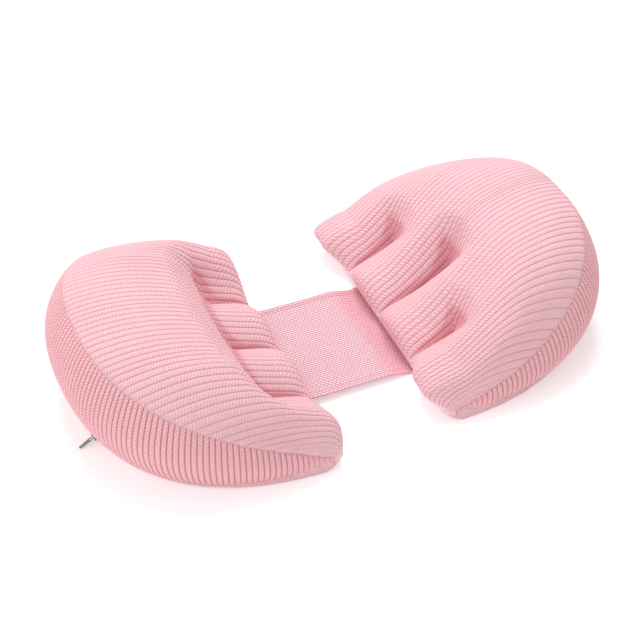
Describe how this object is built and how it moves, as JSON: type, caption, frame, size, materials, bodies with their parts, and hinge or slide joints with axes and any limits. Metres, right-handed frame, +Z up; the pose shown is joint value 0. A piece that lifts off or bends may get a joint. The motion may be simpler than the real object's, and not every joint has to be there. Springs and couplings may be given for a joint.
{
  "type": "pregnancy pillow",
  "caption": "Side-sleeper pregnancy pillow: half-moon wedge cushions of ribbed knit with sewn finger channels, facing each other across a flat ribbed link panel.",
  "frame": {"origin": "middle of the footprint, on the surface that the pillow rests on", "axes": "+X from the back cushion to the belly cushion, +Y away from the side with the zip, +Z up"},
  "size_m": [0.6824, 0.4091, 0.1537],
  "materials": {
    "ribbed_knit": "matt ribbed knit in pale pink, with deeper pink lines between the ribs",
    "panel_knit": "matt fine-ribbed knit in pale pink with a pebbled face",
    "zip_metal": "satin grey metal"
  },
  "bodies": {
    "root": {"back_cushion": "ribbed_knit", "belly_cushion": "ribbed_knit", "link_panel": "panel_knit", "zip_slider": "zip_metal", "zip_pull": "zip_metal"}
  },
  "joints": []
}
